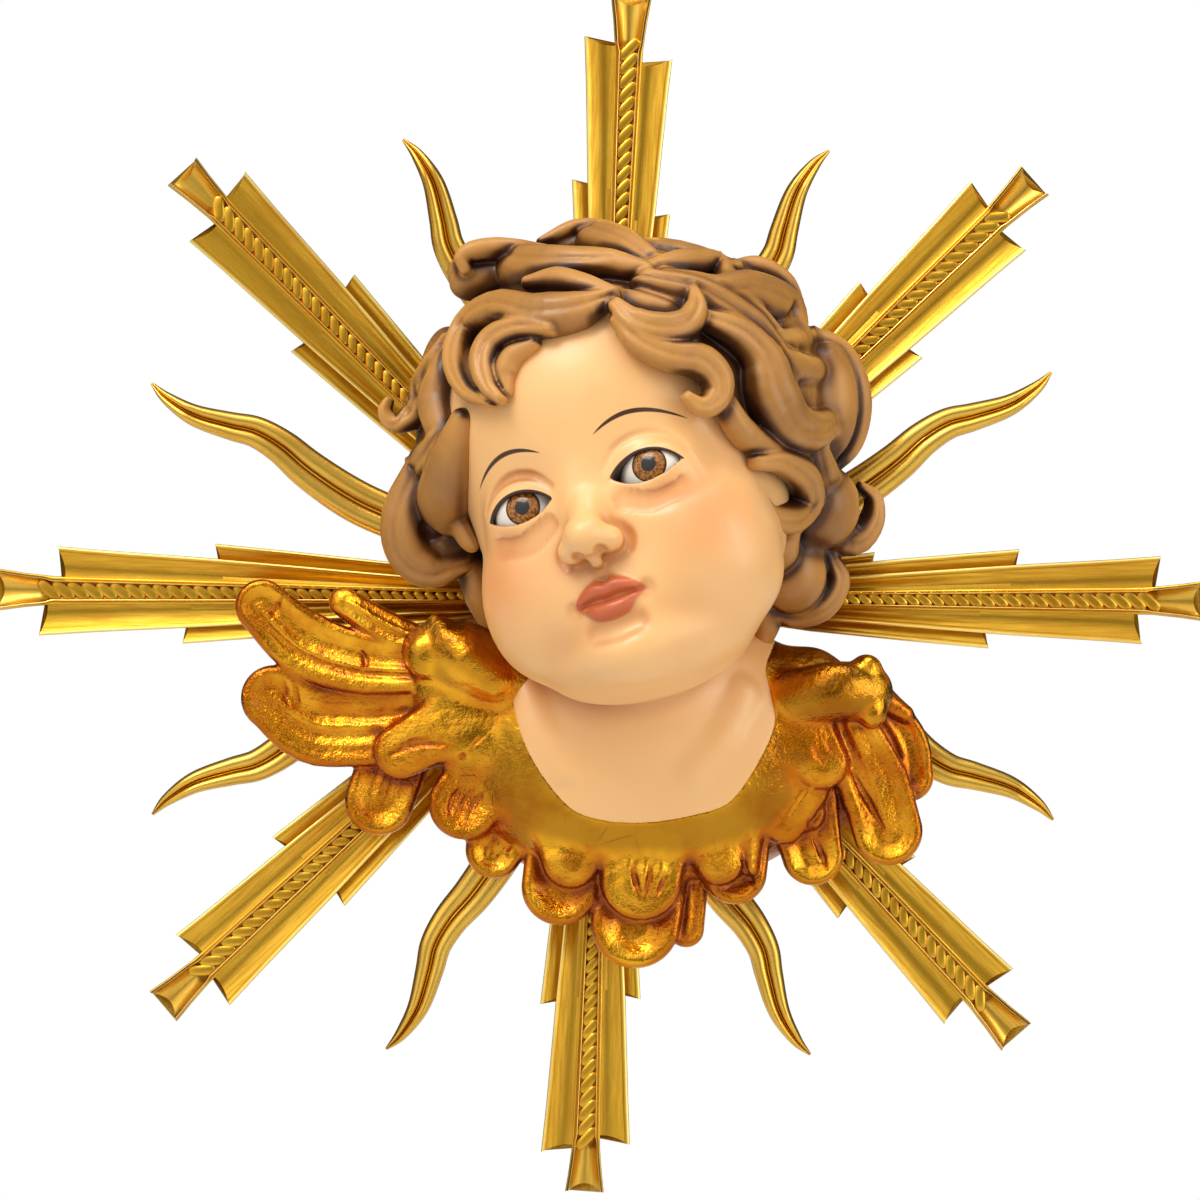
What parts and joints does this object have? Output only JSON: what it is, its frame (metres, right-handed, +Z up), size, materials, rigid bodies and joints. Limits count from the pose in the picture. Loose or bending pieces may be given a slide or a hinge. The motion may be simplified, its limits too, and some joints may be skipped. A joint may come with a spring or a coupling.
{
  "type": "angel head wall sculpture",
  "caption": "Carved and painted child angel head with a gilded wing collar on a sunburst of straight stepped and wavy rays, hung on a wall.",
  "frame": {"origin": "centre of the hub's back face, where it rests on the wall", "axes": "+Y into the wall, so the face looks along -Y; +Z up; +X to the viewer's right"},
  "size_m": [0.5002, 0.1602, 0.4961],
  "materials": {
    "carving": "painted flesh and hair, satin, with gilded wings",
    "ray_gold": "gilded and burnished, worn to the brown ground on the edges",
    "bare_wood": "plain planed wood"
  },
  "bodies": {
    "root": {"angel_head": "carving", "halo_hub": "bare_wood", "ray_straight_1": "ray_gold", "ray_straight_2": "ray_gold", "ray_straight_3": "ray_gold", "ray_straight_4": "ray_gold", "ray_straight_5": "ray_gold", "ray_straight_6": "ray_gold", "ray_straight_7": "ray_gold", "ray_straight_8": "ray_gold", "ray_flame_1": "ray_gold", "ray_flame_2": "ray_gold", "ray_flame_3": "ray_gold", "ray_flame_4": "ray_gold", "ray_flame_5": "ray_gold", "ray_flame_6": "ray_gold", "ray_flame_7": "ray_gold", "ray_flame_8": "ray_gold"}
  },
  "joints": []
}
